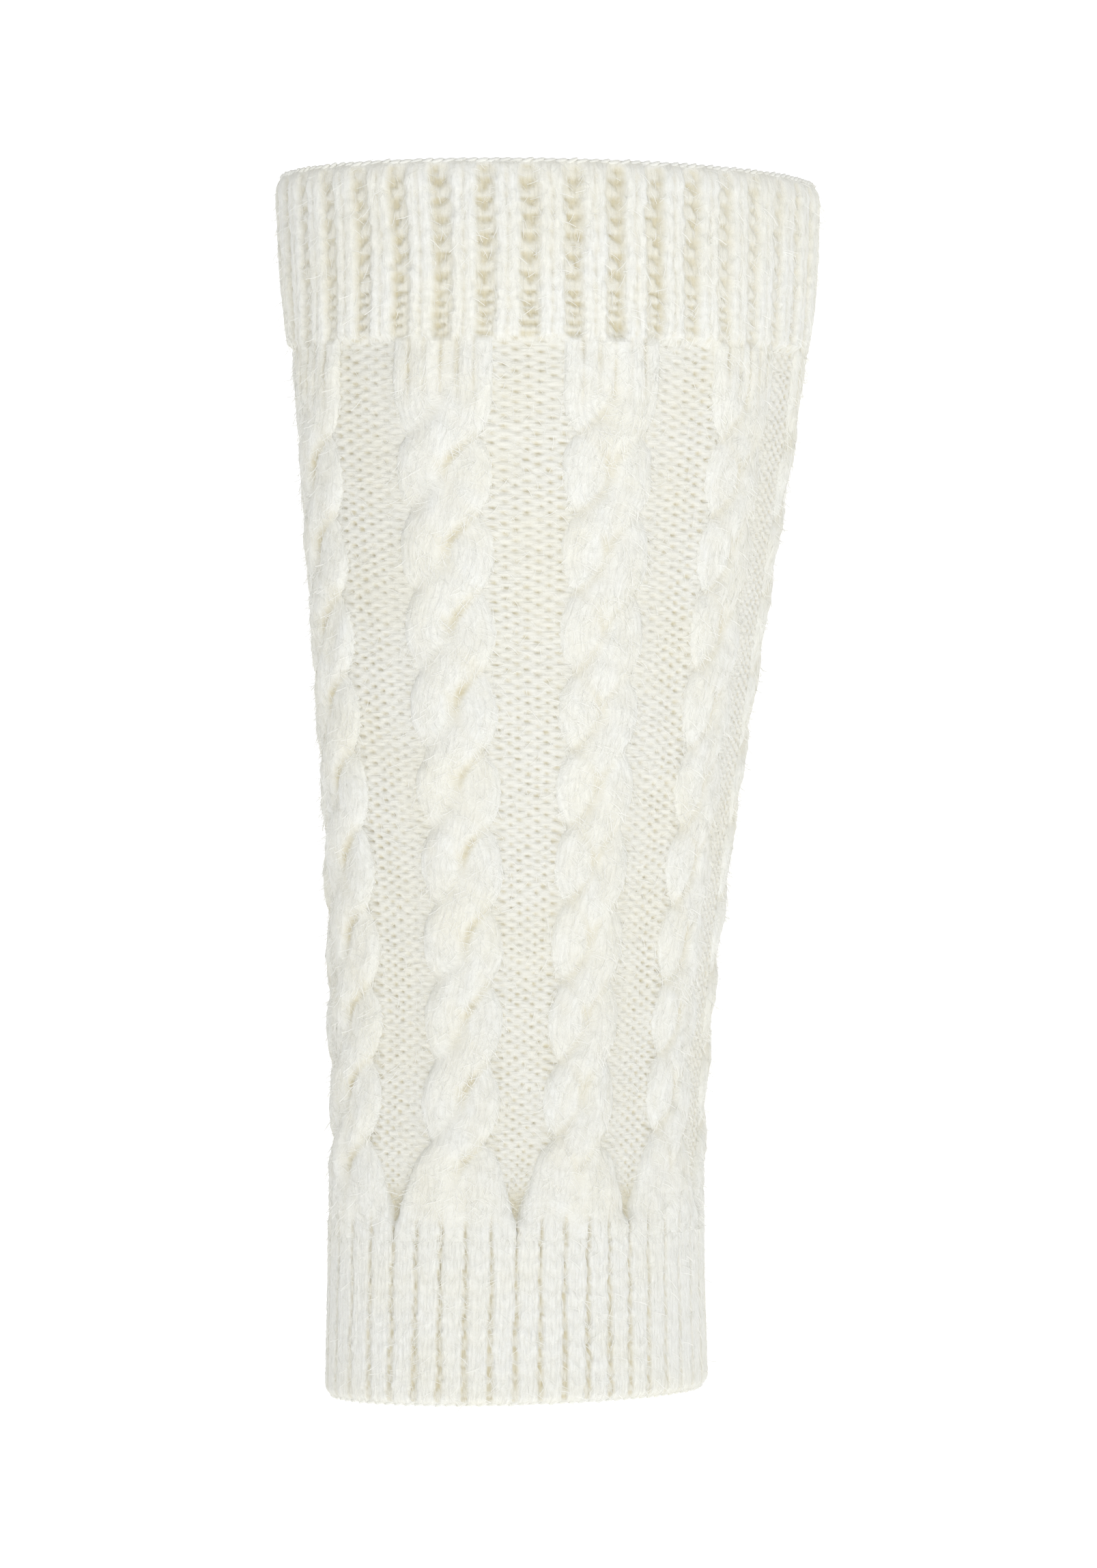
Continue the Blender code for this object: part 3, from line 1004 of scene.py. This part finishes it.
def cable_strip(relief, repeat):
    """One rope cable between two panels."""
    drops = strip_drops(int((BOTTOM_CUFF_START - TOP_CUFF_END) / CABLE_ROW) + 1)
    half = (1 - relief.panel_share(drops)) / 2
    reach = np.minimum(CABLE_REACH * half, WIDEST_REACH)
    even = np.linspace(-1.0, 1.0, CABLE_COLUMNS + 1)
    stops = np.sort(np.append(even, [END_COLUMN - 1.0, 1.0 - END_COLUMN]))[None, :]
    shares = (repeat + 0.5 + stops * reach) / REPEATS
    depth, painted_shade, across, along = relief.strands(drops, shares)
    depth = np.minimum(depth, EDGE_DEPTH)
    kept = {
        "hollow": painted_shade,
        "nap": np.where(depth < PANEL_DEPTH, 1.0 - 0.5 * painted_shade, 0.0),
        "across": across,
        "along": np.broadcast_to(along, depth.shape),
    }
    return drops, shares, depth, kept


def new_material(name):
    """A material with nodes, with its board and its shader."""
    material = bpy.data.materials.new(name)
    material.use_nodes = True
    return material, Board(material.node_tree), material.node_tree.nodes["Principled BSDF"]


def lining_stitches(board, grain):
    """Height of the plain stitches of the inside, in slanting courses between the wales."""
    round_way = board.add("ShaderNodeSeparateXYZ", None, {0: grain})
    turns = round_way * (1 / LINING_WALE)
    beside = abs(turns - round(turns))
    rows = round_way.other("Y") * (1 / (COURSE * MM)) + beside * 0.9
    ridge = abs(rows - round(rows))
    return (0.5 - ridge) * 1.8 + (0.5 - beside) * 1.2


def knit_material(yarn):
    """Brushed cream yarn: streaks of fibre along the grain, soft lumps, and tan painted shade in the
    hollows.
    """
    made = bpy.data.materials.get("brushed_cream_yarn")
    if made:
        return made
    material, board, shader = new_material("brushed_cream_yarn")
    hollow = board.add("ShaderNodeAttribute", {"attribute_name": "hollow"}, output="Fac")
    lining = board.add("ShaderNodeAttribute", {"attribute_name": "lining"}, output="Fac")
    grain = board.add("ShaderNodeUVMap", {"uv_map": "grain"})
    place = board.add("ShaderNodeTexCoord", output="Object")
    stretched = board.add("ShaderNodeMapping", None, {"Vector": grain, "Scale": STREAK_STRETCH})
    streaks = board.add(
        "ShaderNodeTexNoise",
        {"noise_dimensions": "2D"},
        {"Vector": stretched, "Scale": 1.0, "Detail": 4.0, "Roughness": 0.65, "Distortion": 0.8},
    )
    fluff = board.noise(place, FLUFF_SCALE, 4.0, 0.7)
    patches = board.noise(place, PATCH_SCALE, 2.0, 0.5)
    patch_share = board.ranged(patches, 0.38, 0.68, kind="SMOOTHSTEP")
    shade = board.mixed(patch_share, tuple(yarn.cream), tuple(yarn.warm))
    # Painted shade: the hollow attribute mixes in the painted shade colour, broken up by fluff
    deep = board.ranged(hollow + (fluff - 0.5) * 0.25, 0.0, 1.0)
    shade = board.mixed(deep, shade, tuple(yarn.hollow))
    # The streaks darken along the grain: partly the yarn's grain, partly painted shade between the fibres
    streak_share = board.ranged(streaks, 0.3, 0.6, 0.45, 0.0)
    height = streaks * 0.6 + fluff * 0.4 + lining_stitches(board, grain) * lining
    bump_values = {"Strength": 0.75, "Distance": BUMP_HEIGHT, "Height": height}
    board.fill(
        shader,
        {
            "Base Color": board.mixed(streak_share, shade, tuple(yarn.streak)),
            "Normal": board.add("ShaderNodeBump", None, bump_values),
            "Roughness": board.ranged(fluff, 0.0, 1.0, 0.86, 1.0),
            "Specular IOR Level": 0.2,
            "Sheen Weight": 0.12,
            "Sheen Roughness": 0.6,
        },
    )
    return material


def fibre_material(yarn):
    """Loose fibres of the same yarn."""
    made = bpy.data.materials.get("loose_wool_fibre")
    if made:
        return made
    material, board, shader = new_material("loose_wool_fibre")
    place = board.add("ShaderNodeTexCoord", output="Object")
    drift = board.noise(place, DRIFT_SCALE, 2.0, 0.5)
    shade = board.mixed(drift, tuple(yarn.cream), tuple(yarn.fibre_tip))
    board.fill(shader, {"Base Color": shade, "Roughness": 0.9, "Specular IOR Level": 0.2})
    return material


def geometry_board(name, inputs):
    """An empty Geometry Nodes tree with named inputs; returns its board and its inputs' wires."""
    tree = bpy.data.node_groups.new(name, "GeometryNodeTree")
    tree.interface.new_socket("Geometry", in_out="INPUT", socket_type="NodeSocketGeometry")
    tree.interface.new_socket("Geometry", in_out="OUTPUT", socket_type="NodeSocketGeometry")
    for title, kind in inputs:
        tree.interface.new_socket(title, in_out="INPUT", socket_type=kind)
    board = Board(tree)
    start = tree.nodes.new("NodeGroupInput")
    return board, {socket.name: Wire(board, socket) for socket in start.outputs if socket.name}


def end_tree(board, grown, material):
    """Ends the tree in real geometry with its material."""
    real = board.add("GeometryNodeRealizeInstances", None, {0: grown})
    finished = board.add("GeometryNodeSetMaterial", None, {"Geometry": real, "Material": material})
    board.add("NodeGroupOutput", None, {0: finished})


def chance_between(board, least, most, seed):
    """A random number for each point."""
    values = {2: least, 3: most, "Seed": seed}
    return board.add("FunctionNodeRandomValue", {"data_type": "FLOAT"}, values, output=1)


def placed_on(board, points, shape, rotation, turn, values):
    """The shape on each point, at this rotation and then turned about its own axes."""
    way = {"Rotation": rotation, "Rotate By": turn}
    turned = board.add("FunctionNodeRotateRotation", {"rotation_space": "LOCAL"}, way)
    values = {"Points": points, "Instance": shape, "Rotation": turned, **values}
    return board.add("GeometryNodeInstanceOnPoints", None, values)


def grown_mesh(name, base, tree, values):
    """A plain mesh of what the tree makes on the base."""
    carrier = bpy.data.objects.new(name + "_carrier", base)
    bpy.context.scene.collection.objects.link(carrier)
    modifier = carrier.modifiers.new("growth", "NODES")
    modifier.node_group = tree
    for socket in tree.interface.items_tree:
        if socket.in_out == "INPUT" and socket.name in values:
            modifier[socket.identifier] = values[socket.name]
    graph = bpy.context.evaluated_depsgraph_get()
    data = bpy.data.meshes.new_from_object(carrier.evaluated_get(graph), depsgraph=graph)
    carrier.modifiers.remove(modifier)
    bpy.data.objects.remove(carrier)
    if not data.polygons:
        raise RuntimeError(name + " grew nothing")
    data.name = name
    piece = bpy.data.objects.new(name, data)
    bpy.context.scene.collection.objects.link(piece)
    return piece


def nap_tree():
    """Fibres that stand out of a surface, mostly brushed downwards."""
    tree = bpy.data.node_groups.get("brushed_nap")
    if tree:
        return tree
    board, given = geometry_board(
        "brushed_nap",
        (
            ("Density", "NodeSocketFloat"),
            ("Fibre length", "NodeSocketFloat"),
            ("Fibre width", "NodeSocketFloat"),
            ("Seed", "NodeSocketInt"),
            ("Material", "NodeSocketMaterial"),
        ),
    )
    nap = board.add("GeometryNodeInputNamedAttribute", {"data_type": "FLOAT"}, {"Name": "nap"})
    points = board.add(
        "GeometryNodeDistributePointsOnFaces",
        None,
        {"Mesh": given["Geometry"], "Density": given["Density"] * nap, "Seed": given["Seed"]},
    )
    fibre = board.add(
        "GeometryNodeMeshGrid",
        None,
        {
            "Size X": given["Fibre width"],
            "Size Y": given["Fibre length"],
            "Vertices X": 2,
            "Vertices Y": 3,
        },
    )
    place = board.add("GeometryNodeInputPosition")
    forward = board.add("ShaderNodeSeparateXYZ", None, {0: place}, output=1)
    from_root = forward + given["Fibre length"] * 0.5
    lift = from_root * 0.2 + given["Fibre length"] * -0.02
    bend = from_root * from_root * 70.0
    moved = board.add("ShaderNodeCombineXYZ", None, {0: bend, 1: given["Fibre length"] * 0.5, 2: lift})
    shaped = board.add("GeometryNodeSetPosition", None, {"Geometry": fibre, "Offset": moved})
    upright = board.add(
        "FunctionNodeAlignRotationToVector",
        {"axis": "Z"},
        {"Rotation": points.other("Rotation"), "Vector": points.other("Normal")},
    )
    brushed = board.add(
        "FunctionNodeAlignRotationToVector",
        {"axis": "Y", "pivot_axis": "Z"},
        {"Rotation": upright, "Vector": NAP_WAY},
    )
    turn = board.add(
        "FunctionNodeRandomValue",
        {"data_type": "FLOAT_VECTOR"},
        {0: NAP_LEAST_TURN, 1: NAP_MOST_TURN, "Seed": given["Seed"]},
    )
    size = chance_between(board, NAP_LEAST_SIZE, NAP_MOST_SIZE, given["Seed"])
    placed = placed_on(board, points, shaped, brushed, turn, {"Scale": size})
    end_tree(board, placed, given["Material"])
    return board.tree


def stitch_tree():
    """Short rounded stitches along a line."""
    tree = bpy.data.node_groups.get("sewn_chain")
    if tree:
        return tree
    board, given = geometry_board(
        "sewn_chain",
        (
            ("Stitch pitch", "NodeSocketFloat"),
            ("Stitch length", "NodeSocketFloat"),
            ("Yarn width", "NodeSocketFloat"),
            ("Slant", "NodeSocketFloat"),
            ("Seed", "NodeSocketInt"),
            ("Material", "NodeSocketMaterial"),
        ),
    )
    line = board.add("GeometryNodeMeshToCurve", None, {0: given["Geometry"]})
    points = board.add(
        "GeometryNodeCurveToPoints", {"mode": "LENGTH"}, {"Curve": line, "Length": given["Stitch pitch"]}
    )
    ball = board.add("GeometryNodeMeshUVSphere", None, {"Segments": 6, "Rings": 5, "Radius": 0.5})
    size = board.add(
        "ShaderNodeCombineXYZ",
        None,
        {0: given["Yarn width"], 1: given["Yarn width"], 2: given["Stitch length"]},
    )
    stitch = board.add("GeometryNodeTransform", None, {"Geometry": ball, "Scale": size})
    chance = chance_between(board, -STITCH_JITTER, STITCH_JITTER, given["Seed"])
    slant = board.add("ShaderNodeCombineXYZ", None, {0: given["Slant"] + chance, 1: chance})
    placed = placed_on(board, points, stitch, points.other("Rotation"), slant, {})
    end_tree(board, placed, given["Material"])
    return board.tree


def line_mesh(name, points, closed):
    """A bare line through the points."""
    data = bpy.data.meshes.new(name)
    ends = [(place, place + 1) for place in range(len(points) - 1)]
    if closed:
        ends.append((len(points) - 1, 0))
    data.from_pydata([tuple(point) for point in points], ends, [])
    return data


def inner_rows(first, last, count):
    """Rows of a wall's inner side, listed from the first drop to the last."""
    return [(drop, float(section(drop, "wall")), *LINED) for drop in np.linspace(first, last, count)]


def seam_rows(lap, end, wall):
    """Rows of a cuff's end at a seam, from its outside to its inside."""
    return [(end, 0.0, *OUTSIDE), (lap, 0.0, *OUTSIDE), (lap, wall, *LINED), (end, wall, *LINED)]


def top_cuff_rows():
    lap = TOP_CUFF_END + SEAM_LAP
    drops = np.arange(TOP_EDGE_REACH, TOP_CUFF_END - TOP_ROWS_STOP, TOP_CUFF_ROW)
    outer = [(drop, 0.0, *OUTSIDE) for drop in drops]
    end = seam_rows(lap, lap - END_ROW, float(section(TOP_CUFF_END, "wall")))
    inner = inner_rows(TOP_CUFF_END - LINING_START, INNER_EDGE_REACH, TOP_LINING_ROWS)
    rim = rim_rows(0.0, 1, TOP_EDGE_REACH, TOP_EDGE_TURN, float(section(0.0, "wall")))
    return outer + end + inner + rim[::-1]


def bottom_cuff_rows():
    lap = BOTTOM_CUFF_START - SEAM_LAP
    low = LENGTH - BOTTOM_EDGE_REACH
    start = seam_rows(lap, lap + END_ROW, float(section(BOTTOM_CUFF_START, "wall")))
    drops = np.arange(lap + BOTTOM_ROWS_START, low - BOTTOM_ROWS_STOP, BOTTOM_CUFF_ROW)
    outer = [(drop, 0.0, *OUTSIDE) for drop in drops]
    outer.append((low, 0.0, 1.0, EDGE_NAP, 0.0))
    rim = rim_rows(LENGTH, -1, BOTTOM_EDGE_REACH, BOTTOM_EDGE_TURN, float(section(LENGTH, "wall")))
    inner = inner_rows(LENGTH - INNER_EDGE_REACH, lap + LINING_START, BOTTOM_LINING_ROWS)
    return start[::-1] + outer + rim + inner


def settings():
    scene = bpy.context.scene
    return scene.leg_warmer_knit, scene.leg_warmer_yarn, scene.leg_warmer_studio


def new_relief():
    knit, yarn, _ = settings()
    return Relief(knit, yarn.seed)


def knit_sides(title, strip):
    """Knits the strips of the right side as one piece, and those of the left as another."""
    relief = new_relief()
    material = knit_material(settings()[1])
    for side, repeats in SIDES.items():
        strips = [strip(relief, repeat) for repeat in repeats]
        strip_stack(side + title, "cable_body", material, strips)


class KnitTopCuff(Operator):
    """Knits the wide ribbed cuff at the top, with its rounded free edge."""

    bl_idname = "leg_warmer.top_cuff"
    bl_label = "Top cuff"

    def execute(self, context):
        columns = TOP_RIBS * TOP_CUFF_COLUMNS
        relief = (Relief.top_cuff, Relief.top_lining)
        sleeve("ribbed_top_cuff", "top_cuff", top_cuff_rows(), columns, *relief)
        return {"FINISHED"}


class KnitBottomCuff(Operator):
    """Knits the narrow ribbed cuff at the bottom, with its rounded free edge."""

    bl_idname = "leg_warmer.bottom_cuff"
    bl_label = "Bottom cuff"

    def execute(self, context):
        columns = BOTTOM_RIBS * BOTTOM_CUFF_COLUMNS
        relief = (Relief.bottom_cuff, Relief.bottom_lining)
        sleeve("ribbed_bottom_cuff", "bottom_cuff", bottom_cuff_rows(), columns, *relief)
        return {"FINISHED"}


class KnitBodyWall(Operator):
    """Knits the plain wall that the cables and the purl panels stand on."""

    bl_idname = "leg_warmer.body_wall"
    bl_label = "Body wall"

    def execute(self, context):
        drops = np.linspace(TOP_CUFF_END, BOTTOM_CUFF_START, WALL_ROWS)
        outer = [(drop, WALL_FACE_DEPTH, *BARE) for drop in drops]
        rows = outer + inner_rows(BOTTOM_CUFF_START, TOP_CUFF_END, BODY_LINING_ROWS)
        sleeve("body_wall", "cable_body", rows, WALL_COLUMNS, Relief.panel, Relief.body_lining)
        return {"FINISHED"}


class KnitPanels(Operator):
    """Knits the ten purl panels, in a right and a left piece."""

    bl_idname = "leg_warmer.purl_panels"
    bl_label = "Purl panels"

    def execute(self, context):
        knit_sides("_purl_panels", panel_strip)
        return {"FINISHED"}


class KnitCables(Operator):
    """Knits the ten rope cables, in a right and a left piece."""

    bl_idname = "leg_warmer.rope_cables"
    bl_label = "Rope cables"

    def execute(self, context):
        knit_sides("_rope_cables", cable_strip)
        return {"FINISHED"}


class SewEdges(Operator):
    """Sews the chain along both free edges and the closing seam down the inside of the back."""

    bl_idname = "leg_warmer.edge_chains"
    bl_label = "Edge chains and closing seam"

    def execute(self, context):
        material = knit_material(settings()[1])
        shares = np.arange(CHAIN_SAMPLES) / CHAIN_SAMPLES
        inward, sunk = TOP_CHAIN
        top = FORM.at(inward, shares, sunk)
        inward, sunk = BOTTOM_CHAIN
        bottom = FORM.at(LENGTH - inward, shares, sunk)
        seam_drops = np.linspace(SEAM_ENDS, LENGTH - SEAM_ENDS, SEAM_SAMPLES)
        seam = FORM.at(seam_drops, 0.5, section(seam_drops, "wall") + SEAM_PROUD)
        # Name, node, line and whether it closes, then the pitch, length, width and slant of its stitches
        lines = (
            ("top_edge_chain", "top_cuff", top, True, 2.6, 3.3, 1.1, 0.3),
            ("bottom_edge_chain", "bottom_cuff", bottom, True, 2.5, 3.1, 1.0, 0.3),
            ("closing_seam", "cable_body", seam, False, 2.6, 3.4, 1.2, 0.9),
        )
        for name, node, points, closed, pitch, length, width, slant in lines:
            values = {
                "Stitch pitch": pitch * MM,
                "Stitch length": length * MM,
                "Yarn width": width * MM,
                "Slant": slant,
                "Seed": settings()[1].seed,
                "Material": material,
            }
            piece = grown_mesh(name, line_mesh(name + "_line", points, closed), stitch_tree(), values)
            piece.data.shade_smooth()
            place_piece(piece, node)
        return {"FINISHED"}


class BrushNap(Operator):
    """Brushes up the nap of loose fibres over the outside."""

    bl_idname = "leg_warmer.nap"
    bl_label = "Brushed nap"

    NODES = {
        "ribbed_top_cuff": "top_cuff",
        "right_rope_cables": "cable_body",
        "left_rope_cables": "cable_body",
        "right_purl_panels": "cable_body",
        "left_purl_panels": "cable_body",
        "ribbed_bottom_cuff": "bottom_cuff",
    }

    def execute(self, context):
        yarn = settings()[1]
        for name, node in self.NODES.items():
            base = bpy.data.objects[name].data.copy()
            values = {
                "Density": yarn.fibre_density,
                "Fibre length": yarn.fibre_length,
                "Fibre width": yarn.fibre_width,
                "Seed": yarn.seed,
                "Material": fibre_material(yarn),
            }
            place_piece(grown_mesh(name + "_nap", base, nap_tree(), values), node)
        return {"FINISHED"}


class StateCuts(Operator):
    """Looks up the knitted top cuff, body wall and bottom cuff by name."""

    bl_idname = "leg_warmer.cuts"
    bl_label = "Flat sizes"

    def execute(self, context):
        bpy.data.objects["ribbed_top_cuff"]
        bpy.data.objects["body_wall"]
        bpy.data.objects["ribbed_bottom_cuff"]
        return {"FINISHED"}


def aimed(name, data, place, target):
    """A lamp or camera at this place, which looks at the target."""
    thing = bpy.data.objects.new(name, data)
    thing.location = place
    thing.rotation_euler = (Vector(target) - thing.location).to_track_quat("-Z", "Y").to_euler()
    bpy.context.scene.collection.objects.link(thing)
    return thing


def studio_sweep(floor_level):
    """Pale paper that lies on the floor and sweeps up behind."""
    profile = [(SWEEP_FRONT, floor_level), (SWEEP_BACK, floor_level)]
    for angle in np.linspace(0.1, math.pi / 2, 14):
        risen = SWEEP_RADIUS * (1 - math.cos(angle))
        profile.append((SWEEP_BACK + SWEEP_RADIUS * math.sin(angle), floor_level + risen))
    profile.append((SWEEP_BACK + SWEEP_RADIUS, SWEEP_REACH))
    points = [(side * SWEEP_REACH, y, z) for y, z in profile for side in (-1, 1)]
    faces = [(2 * row, 2 * row + 1, 2 * row + 3, 2 * row + 2) for row in range(len(profile) - 1)]
    data = bpy.data.meshes.new("studio_sweep")
    data.from_pydata(points, [], faces)
    data.shade_smooth()
    material, board, shader = new_material("pale_studio_paper")
    board.fill(
        shader,
        {
            "Base Color": (0.9, 0.9, 0.9, 1.0),
            "Roughness": 1.0,
            "Specular IOR Level": 0.0,
            "Emission Color": (1.0, 1.0, 1.0, 1.0),
            "Emission Strength": 0.5,
        },
    )
    data.materials.append(material)
    return bpy.data.objects.new("studio_sweep", data)


class SetStudio(Operator):
    """Sets the pale floor that sweeps up behind, the soft lights and the camera."""

    bl_idname = "leg_warmer.studio"
    bl_label = "Studio"

    def execute(self, context):
        studio = settings()[2]
        scene = bpy.context.scene
        sweep = studio_sweep((TOP_EDGE - LENGTH) * MM - studio.floor_drop)
        scene.collection.objects.link(sweep)
        sweep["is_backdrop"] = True

        world = bpy.data.worlds.new("white_surround")
        world.use_nodes = True
        surround = {"Color": (1.0, 1.0, 1.0, 1.0), "Strength": studio.world_strength}
        Board(world.node_tree).fill(world.node_tree.nodes["Background"], surround)
        scene.world = world

        lights = (
            ("front_light", FRONT_LIGHT, 1.1, studio.key_power),
            ("back_light", BACK_LIGHT, 1.2, studio.key_power * 0.4),
        )
        for name, place, size, power in lights:
            light = bpy.data.lights.new(name, "AREA")
            light.size = size
            light.energy = power
            aimed(name, light, place, LIGHT_TARGET)

        lens = bpy.data.cameras.new("camera")
        lens.lens = CAMERA_LENS
        lens.sensor_width = CAMERA_SENSOR
        scene.camera = aimed("camera", lens, CAMERA_PLACE, CAMERA_TARGET)
        scene.view_settings.view_transform = "Standard"
        return {"FINISHED"}


class LegWarmerPanel(Panel):
    """Lists the steps and the sizes in the sidebar."""

    bl_idname = "VIEW3D_PT_leg_warmer"
    bl_label = "Leg Warmer"
    bl_space_type = "VIEW_3D"
    bl_region_type = "UI"
    bl_category = "Leg Warmer"

    def draw(self, context):
        for operator in STEPS:
            self.layout.operator(operator.bl_idname)
        for group in settings():
            for name in group.bl_rna.properties.keys():
                if name not in ("rna_type", "name"):
                    self.layout.prop(group, name)


STEPS = (
    SetStudio,
    KnitTopCuff,
    KnitBodyWall,
    KnitPanels,
    KnitCables,
    KnitBottomCuff,
    SewEdges,
    BrushNap,
    StateCuts,
)
GROUPS = {
    "leg_warmer_knit": LegWarmerKnit,
    "leg_warmer_yarn": LegWarmerYarn,
    "leg_warmer_studio": LegWarmerStudio,
}


def register():
    for kind in (*GROUPS.values(), *STEPS, LegWarmerPanel):
        bpy.utils.register_class(kind)
    for name, kind in GROUPS.items():
        setattr(bpy.types.Scene, name, PointerProperty(type=kind))


def unregister():
    for name in GROUPS:
        delattr(bpy.types.Scene, name)
    for kind in reversed((*GROUPS.values(), *STEPS, LegWarmerPanel)):
        bpy.utils.unregister_class(kind)


def write_sizes():
    """Works out the box of the solids and the box of the dressed part."""
    boxes = {"cad": CAD_BOUNDS, "visual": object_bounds()}
    plain = {name: [list(corner) for corner in box] for name, box in boxes.items()}


def main():
    register()
    for step in STEPS:
        family, name = step.bl_idname.split(".")
        getattr(getattr(bpy.ops, family), name)()
    write_sizes()


if __name__ == "__main__":
    main()
